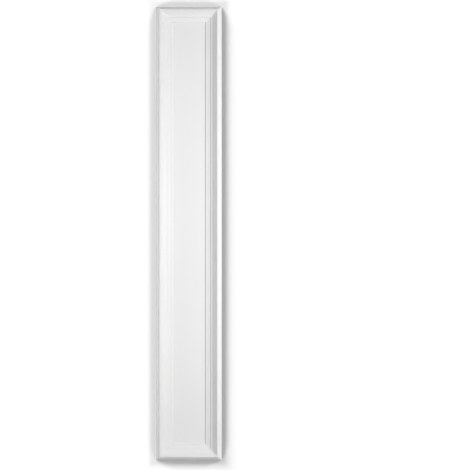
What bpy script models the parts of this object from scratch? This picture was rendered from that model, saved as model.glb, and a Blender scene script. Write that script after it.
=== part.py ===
"""A pilaster shaft cast in one piece: a flat field framed on all four sides by a mitred moulding.

Metres, +Z up. The shaft stands upright with its face towards -Y, and the centre of its flat back is
at the origin, where it meets the wall.
"""

from cmath import exp
from math import ceil, radians

import bmesh
import bpy

MM = 0.001

# Overall size of the shaft, in millimetres. Its depth follows from the members of the moulding.
LENGTH = 2000.0
WIDTH = 290.0

# Height of the plain edge that meets the wall.
EDGE = 8.0

# The members of the moulding, from the outer edge in towards the field: width and rise in
# millimetres, and turn in degrees. A fall is a negative rise. The turn is how far the surface
# swings between the member's two ends: positive on a round, negative in a hollow, 0 on a flat.
MEMBERS = {
    "ledge": (2.4, 0.0, 0.0),
    "lower_round": (7.6, 16.9, 46.0),
    "fillet": (2.4, -0.8, 0.0),
    "upper_round": (4.8, 15.9, 33.0),
    "crest": (4.6, -0.2, 0.0),
    "upper_splay": (7.4, -8.3, 0.0),
    "upper_arris": (3.0, -0.7, 0.0),
    "hollow": (3.4, -5.1, -8.0),
    "lower_splay": (8.5, -4.9, 0.0),
    "lower_arris": (2.4, 0.1, 0.0),
    "step": (4.3, -5.2, 20.0),
    "quirk": (2.8, 0.3, 0.0),
    "band": (13.1, -3.2, -7.0),
    "bead_side": (2.1, 0.6, 20.0),
    "bead_fall": (4.2, -5.6, 4.0),
}

# Largest swing of the surface from one facet of a round or hollow to the next, in degrees.
FACET_TURN = 4.0


def facets(width, rise, turn):
    """Short straight steps along a member, each a complex number: across plus up times i.

    Equal steps are swung evenly from one end of the turn to the other. Their sum is then turned
    and stretched onto the straight line from end to end, which leaves an arc of a circle.
    """
    count = max(1, ceil(abs(turn) / FACET_TURN))
    swing = radians(turn)
    steps = [exp(1j * swing * (0.5 - (step + 0.5) / count)) for step in range(count)]
    fit = complex(width, rise) / sum(steps)
    return [step * fit for step in steps]


def moulded_shaft():
    """A slab as thick as the edge, its front face inset once for each facet of the moulding.

    A rectangle inset evenly keeps its corners on the mitres, so the four sides share one profile.
    """
    shape = bmesh.new()
    bmesh.ops.create_cube(shape, size=1.0)
    bmesh.ops.scale(shape, vec=(WIDTH * MM, EDGE * MM, LENGTH * MM), verts=shape.verts)
    bmesh.ops.translate(shape, vec=(0.0, -EDGE * MM / 2, 0.0), verts=shape.verts)
    front = min(shape.faces, key=lambda face: face.calc_center_median().y)
    for member in MEMBERS.values():
        for facet in facets(*member):
            bmesh.ops.inset_region(
                shape,
                faces=[front],
                thickness=facet.real * MM,
                depth=facet.imag * MM,
                use_boundary=True,
                use_even_offset=True,
            )
    mesh = bpy.data.meshes.new("pilaster_shaft")
    shape.to_mesh(mesh)
    shape.free()
    return mesh


def primed_white():
    """The smooth white priming coat that the rigid foam is sold in."""
    material = bpy.data.materials.new("primed_white")
    material.use_nodes = True
    shader = material.node_tree.nodes["Principled BSDF"]
    shader.inputs["Base Color"].default_value = (0.83, 0.83, 0.83, 1.0)
    shader.inputs["Roughness"].default_value = 0.6
    shader.inputs["Metallic"].default_value = 0.0
    return material


for old in list(bpy.data.objects):
    bpy.data.objects.remove(old, do_unlink=True)

shaft = bpy.data.objects.new("pilaster_shaft", moulded_shaft())
bpy.context.collection.objects.link(shaft)
shaft.data.materials.append(primed_white())
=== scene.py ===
import bpy
import numpy as np
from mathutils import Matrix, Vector


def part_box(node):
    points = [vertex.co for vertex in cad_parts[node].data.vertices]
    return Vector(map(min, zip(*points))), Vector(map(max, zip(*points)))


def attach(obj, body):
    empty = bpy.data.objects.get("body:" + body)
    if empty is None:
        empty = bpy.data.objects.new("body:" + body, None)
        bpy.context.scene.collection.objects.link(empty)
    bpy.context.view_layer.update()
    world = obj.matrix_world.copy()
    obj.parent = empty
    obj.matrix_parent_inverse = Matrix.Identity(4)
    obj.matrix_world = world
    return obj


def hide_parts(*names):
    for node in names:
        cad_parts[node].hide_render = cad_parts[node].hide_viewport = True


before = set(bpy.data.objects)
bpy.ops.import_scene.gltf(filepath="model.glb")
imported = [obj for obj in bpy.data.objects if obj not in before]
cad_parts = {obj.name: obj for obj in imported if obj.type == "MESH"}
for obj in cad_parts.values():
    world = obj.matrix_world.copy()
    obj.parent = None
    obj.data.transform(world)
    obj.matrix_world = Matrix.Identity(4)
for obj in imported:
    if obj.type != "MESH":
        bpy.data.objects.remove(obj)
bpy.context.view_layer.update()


# The shaft: one casting of rigid polyurethane foam, its field and the moulding round it poured in
# one mould, so the members run on round the mitres without a joint. Its flat back is glued to the
# wall. Sizes are in millimetres, and the mould and the paint leave every arris slightly soft.

millimetre = 0.001
half_width, _, half_length = np.array(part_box("pilaster_shaft")[1]) / millimetre
edge_height = 8.0
arris_softness = 0.8
mitre_radius = 0.6

# Each member, from the edge inwards: its width, its rise away from the wall, and the turn of its
# arc in degrees. An arc has one flat step for every three degrees.
facet_turn = 3.0
members = {
    "ledge": (2.4, 0.0, 0.0),
    "lower_round": (7.6, 16.9, 46.0),
    "fillet": (2.4, -0.8, 0.0),
    "upper_round": (4.8, 15.9, 33.0),
    "crest": (4.6, -0.2, 0.0),
    "upper_splay": (7.4, -8.3, 0.0),
    "upper_arris": (3.0, -0.7, 0.0),
    "hollow": (3.4, -5.1, -8.0),
    "lower_splay": (8.5, -4.9, 0.0),
    "lower_arris": (2.4, 0.1, 0.0),
    "step": (4.3, -5.2, 20.0),
    "quirk": (2.8, 0.3, 0.0),
    "band": (13.1, -3.2, -7.0),
    "bead_side": (2.1, 0.6, 20.0),
    "bead_fall": (4.2, -5.6, 4.0),
}


def member_steps(width, rise, turn):
    """A member's arc as short equal steps, each a complex number: across plus up times i.

    The steps swing evenly through the turn. Their sum is then turned and stretched onto the
    straight line from one end of the member to the other.
    """
    count = max(1, int(np.ceil(abs(turn) / facet_turn)))
    swing = np.radians(turn) * (0.5 - (np.arange(count) + 0.5) / count)
    steps = np.exp(1j * swing)
    return steps * (complex(width, rise) / steps.sum())


def sharp_profile():
    """The half section with sharp arrises: back, edge, moulding, and the field to its middle.

    Each point is its distance in from the edge, plus its height over the back times i. The joints
    are the numbers of the points where one member meets the next.
    """
    runs = [member_steps(*member) for member in members.values()]
    middle = half_width - mitre_radius
    field = middle - sum(run.sum() for run in runs).real
    runs = [[-middle], [1j * edge_height], *runs, [field]]
    points = middle + np.concatenate([[0], np.cumsum(np.concatenate(runs))])
    joints = np.cumsum([len(run) for run in runs])[:-1]
    return points, joints


def at_length(stops, length, line):
    """The complex value of a line at each distance along it, by straight interpolation."""
    return np.interp(stops, length, line.real) + 1j * np.interp(stops, length, line.imag)


def softened(outline, joints, fine_points=20001, joint_points=5, flat_points=5):
    """Points of the outline with its arrises softened, and the direction of the surface at each.

    A point is the mean of the sharp outline over a short reach centred on it: the difference of
    the running sum at the two ends of the reach, over the reach. The direction is the chord
    across that reach, which is the slope of such a mean.
    """
    length = np.concatenate([[0], np.cumsum(np.abs(np.diff(outline)))])
    fine = np.linspace(0, length[-1], fine_points)
    centres = (fine[1:] + fine[:-1]) / 2
    running = np.cumsum(at_length(centres, length, outline) * np.diff(fine))
    running = np.concatenate([[0], running])

    across_joint = arris_softness * np.linspace(-0.5, 0.5, joint_points)
    back_end, field_end = arris_softness, length[-1] - arris_softness
    stops = np.concatenate([
        (length[joints][:, None] + across_joint).ravel(),
        length[joints[1]:joints[-1]],
        np.linspace(back_end, length[joints[0]], flat_points, endpoint=False),
        np.linspace(field_end, length[joints[-1]], flat_points, endpoint=False),
    ])
    stops = np.unique(stops)
    closest = arris_softness / 10
    stops = stops[np.concatenate([[True], np.diff(stops) > closest])]

    ahead = stops + arris_softness / 2
    behind = stops - arris_softness / 2
    reached = at_length(ahead, fine, running) - at_length(behind, fine, running)
    chord = at_length(ahead, length, outline) - at_length(behind, length, outline)
    return reached / arris_softness, chord / np.abs(chord)


def ring_path(across=5, corner=5, along=28):
    """The way round a rectangle with small round corners, from the middle of its top.

    Each stop has two parts: the share of the way from the middle to the corner's centre, in x and
    z, and the direction faced there. One quarter is worked out, then mirrored twice.
    """
    top = np.linspace(0, 1, across, endpoint=False)
    turn = np.linspace(np.pi / 2, 0, corner)
    side = np.linspace(1, 0, along + 1)[1:]
    share = np.concatenate([
        np.stack([top, np.ones(across)], 1),
        np.ones((corner, 2)),
        np.stack([np.ones(along), side], 1),
    ])
    facing = np.concatenate([
        np.tile([0.0, 1.0], (across, 1)),
        np.stack([np.cos(turn), np.sin(turn)], 1),
        np.tile([1.0, 0.0], (along, 1)),
    ])

    def mirrored(quarter):
        half = np.concatenate([quarter, quarter[-2::-1] * [1, -1]])
        return np.concatenate([half, half[-2:0:-1] * [-1, 1]])

    return mirrored(share), mirrored(facing)


def carried_round(profile, directions, share, facing):
    """The profile carried round the ring, as a grid of points in metres and their normals.

    A stop is at its share of the rectangle inset by the profile's distance from the edge, plus
    the mitre's radius in the direction faced. The normal is square to the profile's direction.
    """
    inset, height = profile.real[:, None], profile.imag[:, None]
    x = share[:, 0] * (half_width - inset - mitre_radius) + mitre_radius * facing[:, 0]
    z = share[:, 1] * (half_length - inset - mitre_radius) + mitre_radius * facing[:, 1]
    place = np.stack([x, np.broadcast_to(-height, x.shape), z], 2) * millimetre
    outward, forward = directions.imag[:, None], directions.real[:, None]
    normal = np.stack([
        outward * facing[:, 0],
        np.broadcast_to(-forward, x.shape),
        outward * facing[:, 1],
    ], 2)
    return place, normal


def ring_faces(rings, stops, tip):
    """Squares from ring to ring, with the first and last rings closed by strips from side to side.

    The two ends of each are closed by tips. A tip is one flat face: the middle of the end and
    this many stops on each side of it, which takes in both corners.
    """
    ring = np.arange(rings - 1)[:, None] * stops
    stop = np.arange(stops)
    after = (stop + 1) % stops
    walls = np.stack([ring + stop, ring + stops + stop, ring + stops + after, ring + after], 2)
    side = np.arange(tip, stops // 2 - tip)
    cap = np.stack([side, side + 1, stops - side - 1, stops - side], 1).tolist()
    for middle in (0, stops // 2):
        cap.append([(middle + step) % stops for step in range(-tip, tip + 1)])
    far_cap = [[index + (rings - 1) * stops for index in face[::-1]] for face in cap]
    return walls.reshape(-1, 4).tolist() + cap + far_cap


share, facing = ring_path()
place, normal = carried_round(*softened(*sharp_profile()), share, facing)
casting = bpy.data.meshes.new("shaft_casting")
casting.from_pydata(place.reshape(-1, 3), [], ring_faces(*place.shape[:2], tip=9))
casting.validate()
casting.update()
casting.normals_split_custom_set_from_vertices(normal.reshape(-1, 3))
shaft = bpy.data.objects.new("shaft_casting", casting)
bpy.context.collection.objects.link(shaft)
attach(shaft, "root")
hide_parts("pilaster_shaft")


# The priming coat: white acrylic primer sprayed over the face and edges of the casting at the
# works, ready for wall paint. It dries matt, with a fine orange peel from the spray gun.

def linear(hex_colour):
    """An sRGB hex colour as linear red, green, blue and alpha."""
    srgb = np.array([int(hex_colour[i:i + 2], 16) for i in (1, 3, 5)]) / 255
    bright = ((srgb + 0.055) / 1.055) ** 2.4
    return (*np.where(srgb <= 0.04045, srgb / 12.92, bright), 1.0)


def add_node(tree, kind, inputs, **settings):
    """A node of this kind with its settings. Each input is set to a value, or linked to a socket.

    Inputs go by name or by number. A Mix of colours has its share at 0 and the colours at 6 and 7.
    """
    node = tree.nodes.new("ShaderNode" + kind)
    for name, value in settings.items():
        setattr(node, name, value)
    for name, value in inputs.items():
        if isinstance(value, bpy.types.NodeSocket):
            tree.links.new(value, node.inputs[name])
        else:
            node.inputs[name].default_value = value
    return node


# Acrylic primer: IOR 1.5, matt at roughness 0.48. The coat is a little thinner in soft patches
# 120 mm wide and four times as long, drawn out along the shaft by the passes of the spray gun.
patch_width, patch_length = 0.120, 0.480
primer = bpy.data.materials.new("primer_coat")
primer.use_nodes = True
tree = primer.node_tree
coat = tree.nodes["Principled BSDF"]
coat.inputs["IOR"].default_value = 1.5
where = add_node(tree, "TexCoord", {}).outputs["Object"]
passes = add_node(tree, "Mapping", {"Vector": where, "Scale": (1.0, 1.0, patch_width / patch_length)})
thin_patch = add_node(tree, "TexNoise", {
    "Vector": passes.outputs[0], "Scale": 1 / patch_width, "Detail": 3.0,
})
shade = add_node(tree, "Mix", {
    0: thin_patch.outputs[0], 6: linear("#E6E6E6"), 7: linear("#E0E0DF"),
}, data_type="RGBA")
tree.links.new(shade.outputs[2], coat.inputs["Base Color"])

# The orange peel is about 3 mm from crest to crest and 0.01 mm deep. The same noise makes the
# coat between 0.44 and 0.52 rough. The casting itself waves by 0.2 mm over about 180 mm. Noise
# keeps to the middle half of its range, so the depths below are twice the real ones.
peel_size, peel_depth = 0.003, 0.00002
wave_size, wave_depth = 0.180, 0.0004
peel = add_node(tree, "TexNoise", {"Vector": where, "Scale": 1 / peel_size, "Detail": 2.0})
gloss = add_node(tree, "MapRange", {"Value": peel.outputs[0], "To Min": 0.44, "To Max": 0.52})
tree.links.new(gloss.outputs["Result"], coat.inputs["Roughness"])
wave = add_node(tree, "TexNoise", {"Vector": where, "Scale": 1 / wave_size, "Detail": 0.0})
uneven = add_node(tree, "Bump", {"Height": wave.outputs[0], "Distance": wave_depth})
peeled = add_node(tree, "Bump", {
    "Height": peel.outputs[0], "Distance": peel_depth, "Normal": uneven.outputs["Normal"],
})
tree.links.new(peeled.outputs["Normal"], coat.inputs["Normal"])
casting.materials.append(primer)


# The back: the bare foam skin, cream-coloured and full of fine pores, sanded flat along its length
# so that it beds evenly in the adhesive. Primer sprayed on the face has drifted over its rim.

# Bare polyurethane skin: IOR 1.5, dull at roughness 0.85, in two creams that cloud every 60 mm.
cloud_size = 0.060
bare = bpy.data.materials.new("bare_foam_back")
bare.use_nodes = True
tree = bare.node_tree
foam = tree.nodes["Principled BSDF"]
foam.inputs["IOR"].default_value = 1.5
foam.inputs["Roughness"].default_value = 0.85
where = add_node(tree, "TexCoord", {}).outputs["Object"]
skin = add_node(tree, "TexNoise", {"Vector": where, "Scale": 1 / cloud_size, "Detail": 4.0})
skin_shade = add_node(tree, "Mix", {
    0: skin.outputs[0], 6: linear("#EDE5CE"), 7: linear("#E0D5B8"),
}, data_type="RGBA")

# Sanding lines are about 1 mm apart, 80 mm long and 0.03 mm deep. Pores are up to 0.8 mm across
# and 0.2 mm deep, about 4 mm apart, and painted shade darkens the colour in each one.
line_gap, line_length, line_depth = 0.001, 0.080, 0.00005
pore_gap, pore_depth = 0.004, 0.0003
lengthways = add_node(tree, "Mapping", {"Vector": where, "Scale": (1.0, 1.0, line_gap / line_length)})
sanding = add_node(tree, "TexNoise", {
    "Vector": lengthways.outputs[0], "Scale": 1 / line_gap, "Detail": 1.0,
})
cells = add_node(tree, "TexVoronoi", {"Vector": where, "Scale": 1 / pore_gap})
# Each pore's depth, used both for its bump and for the painted shade in its hollow.
pore_depth_and_shade = add_node(tree, "MapRange", {
    "Value": cells.outputs["Distance"],
    "From Min": 0.06, "From Max": 0.12, "To Min": 0.45, "To Max": 1.0,
})
# Painted shade: the cream is darkened towards the middle of each pore, where its hollow would be in
# shadow.
pore_painted_shade = add_node(tree, "Mix", {
    0: 1.0, 6: skin_shade.outputs[2], 7: pore_depth_and_shade.outputs["Result"],
}, data_type="RGBA", blend_type="MULTIPLY")

# The drift is white up to about 8 mm in from the rim, and gone by about 22 mm. Its ragged edge
# wanders in and out about every 15 mm.
white_to, gone_by = 0.008, 0.022
wander_size, wander = 0.015, 0.012
spread = add_node(tree, "SeparateXYZ", {"Vector": where})
from_edges = []
for axis, half in (("X", half_width), ("Z", half_length)):
    out = add_node(tree, "Math", {0: spread.outputs[axis]}, operation="ABSOLUTE")
    inwards = add_node(tree, "Math", {0: half * millimetre, 1: out.outputs[0]}, operation="SUBTRACT")
    from_edges.append(inwards.outputs[0])
from_rim = add_node(tree, "Math", {0: from_edges[0], 1: from_edges[1]}, operation="MINIMUM")
ragged = add_node(tree, "TexNoise", {"Vector": where, "Scale": 1 / wander_size, "Detail": 5.0})
ragged = add_node(tree, "MapRange", {"Value": ragged.outputs[0], "To Min": -wander, "To Max": wander})
reach = add_node(tree, "Math", {0: from_rim.outputs[0], 1: ragged.outputs["Result"]})
drift = add_node(tree, "MapRange", {
    "Value": reach.outputs[0],
    "From Min": white_to, "From Max": gone_by, "To Min": 1.0, "To Max": 0.0,
})
surface = add_node(tree, "Mix", {
    0: drift.outputs["Result"], 6: pore_painted_shade.outputs[2], 7: linear("#E4E4E3"),
}, data_type="RGBA")
tree.links.new(surface.outputs[2], foam.inputs["Base Color"])
scratched = add_node(tree, "Bump", {"Height": sanding.outputs[0], "Distance": line_depth})
pitted = add_node(tree, "Bump", {
    "Height": pore_depth_and_shade.outputs["Result"], "Distance": pore_depth, "Normal": scratched.outputs["Normal"],
})
tree.links.new(pitted.outputs["Normal"], foam.inputs["Normal"])
casting.materials.append(bare)

# The bare faces are those with their centres in the plane of the back, y = 0.
centre = np.empty(len(casting.polygons) * 3)
casting.polygons.foreach_get("center", centre)
on_back = centre[1::3] > -millimetre / 1000
casting.polygons.foreach_set("material_index", on_back.astype(np.int32))


# The studio: a wall that the shaft is fixed to, which its light turns white, and a pale floor. Both
# are plain matt paint on one side, and clear from behind or below, so that a camera there still
# sees the shaft. Their sizes are in metres.

wall_y, floor_z, room_side, room_front, room_top = 0.001, -1.12, 4.0, -6.0, 3.0


def one_sided(name, corners):
    """A flat stage piece with these four corners, facing the side from which they run anticlockwise."""
    sheet = bpy.data.meshes.new(name)
    sheet.from_pydata(corners, [], [(0, 1, 2, 3)])
    piece = bpy.data.objects.new(name, sheet)
    bpy.context.collection.objects.link(piece)
    return piece


wall = one_sided("wall", [
    (-room_side, wall_y, floor_z), (room_side, wall_y, floor_z),
    (room_side, wall_y, room_top), (-room_side, wall_y, room_top),
])
floor = one_sided("floor", [
    (-room_side, room_front, floor_z), (room_side, room_front, floor_z),
    (room_side, wall_y, floor_z), (-room_side, wall_y, floor_z),
])

# Matt wall paint: a mid grey that a strong light of its own brings up to white. A wall painted
# white would catch the light off the shaft's edges and wash out the shadow round them.
paint = bpy.data.materials.new("matt_wall_paint")
paint.use_nodes = True
tree = paint.node_tree
painted = tree.nodes["Principled BSDF"]
painted.inputs["Base Color"].default_value = linear("#7C7C7C")
painted.inputs["Roughness"].default_value = 0.9
behind = add_node(tree, "NewGeometry", {}).outputs["Backfacing"]
clear = add_node(tree, "BsdfTransparent", {}).outputs["BSDF"]
sided = add_node(tree, "MixShader", {0: behind, 1: painted.outputs["BSDF"], 2: clear})
tree.links.new(sided.outputs["Shader"], tree.nodes["Material Output"].inputs["Surface"])
wall.data.materials.append(paint)
floor.data.materials.append(paint)

# Neither casts a shadow, so light from behind the wall reaches the shaft's edges. The floor throws
# no light up at the shaft.
wall.visible_shadow = False
floor.visible_shadow = False
floor.visible_diffuse = False


# The light: a broad soft panel on the right, weaker ones on the left, above and below, and a strip
# behind each edge for the glow of the wall. The wall has soft light of its own from four sides,
# the strongest from the upper left, so that a shadow lies all round the shaft.

def lit_only(name, *pieces):
    """The pieces that a light falls on, as a collection."""
    pieces_lit = bpy.data.collections.new(name)
    for piece in pieces:
        pieces_lit.objects.link(piece)
    return pieces_lit


on_shaft = lit_only("on_shaft", shaft)
on_stage = lit_only("on_stage", wall, floor)


def light(kind, name, towards, pieces_lit, reach=1.0, **settings):
    """A light out in this direction from the shaft, facing it, falling on these pieces only."""
    lamp = bpy.data.lights.new(name, kind)
    for setting, value in settings.items():
        setattr(lamp, setting, value)
    towards = Vector(towards).normalized()
    placed = bpy.data.objects.new(name, lamp)
    placed.location = towards * reach
    placed.rotation_euler = towards.to_track_quat("Z", "Y").to_euler()
    placed.visible_camera = False
    placed.light_linking.receiver_collection = pieces_lit
    bpy.context.collection.objects.link(placed)


def panel(name, azimuth, height, watts, width=0.8, tall=1.2, reach=2.4):
    """A soft panel for the shaft, at an azimuth round it from the front, and a height angle."""
    around, up = np.radians([azimuth, height])
    towards = (np.sin(around) * np.cos(up), -np.cos(around) * np.cos(up), np.sin(up))
    light("AREA", name, towards, on_shaft, reach,
          shape="RECTANGLE", size=width, size_y=tall, energy=watts)


panel("key_panel", azimuth=45, height=2, watts=38.0)
panel("fill_panel", azimuth=-20, height=-2, watts=9.5)
panel("upper_panel", azimuth=0, height=25, watts=12.2)
panel("lower_panel", azimuth=0, height=-25, watts=8.6)
panel("left_strip", azimuth=-100, height=0, watts=15.0, width=0.4, tall=2.2)
panel("right_strip", azimuth=108, height=0, watts=11.3, width=0.4, tall=2.2)
panel("upper_strip", azimuth=0, height=100, watts=2.6, width=1.2, tall=0.4)
panel("lower_strip", azimuth=0, height=-100, watts=3.6, width=1.2, tall=0.4)
panel("back_panel", azimuth=180, height=20, watts=26.0)
for name, towards, strength, spread in (
    ("wall_upper_left", (-0.61, -0.485, 0.61), 12.2, 28),
    ("wall_upper_right", (0.59, -0.53, 0.59), 5.8, 15),
    ("wall_lower_left", (-0.59, -0.53, -0.59), 6.2, 15),
    ("wall_lower_right", (0.59, -0.53, -0.59), 3.2, 15),
):
    light("SUN", name, towards, on_stage, energy=strength, angle=np.radians(spread))

# A faint white light comes from all round, as in a pale room.
sky = bpy.data.worlds.new("soft_sky")
sky.use_nodes = True
glow = sky.node_tree.nodes["Background"]
glow.inputs["Color"].default_value = linear("#FFFFFF")
glow.inputs["Strength"].default_value = 0.17
bpy.context.scene.world = sky
bpy.context.scene.view_settings.view_transform = "Standard"


# The camera: level, square to the middle of the shaft, and 5.4 m away, where the crest leans
# outwards over the edge as it does in the photograph. The shift frames the shaft left of centre.

# The side of the image, the shaft's width in it and its middle, in pixels from the top left.
image_side = 470
shaft_across, shaft_centre = 65.6, (188.8, 233.4)

distance = 5.4
frame_width = 2 * half_width * millimetre * image_side / shaft_across
view = bpy.data.cameras.new("camera")
view.sensor_width = 36.0
view.lens = view.sensor_width * distance / frame_width
view.shift_x = (image_side / 2 - shaft_centre[0]) / image_side
view.shift_y = (shaft_centre[1] - image_side / 2) / image_side
camera = bpy.data.objects.new("camera", view)
camera.location = (0.0, -distance, 0.0)
camera.rotation_euler = (np.pi / 2, 0.0, 0.0)
bpy.context.collection.objects.link(camera)
bpy.context.scene.camera = camera
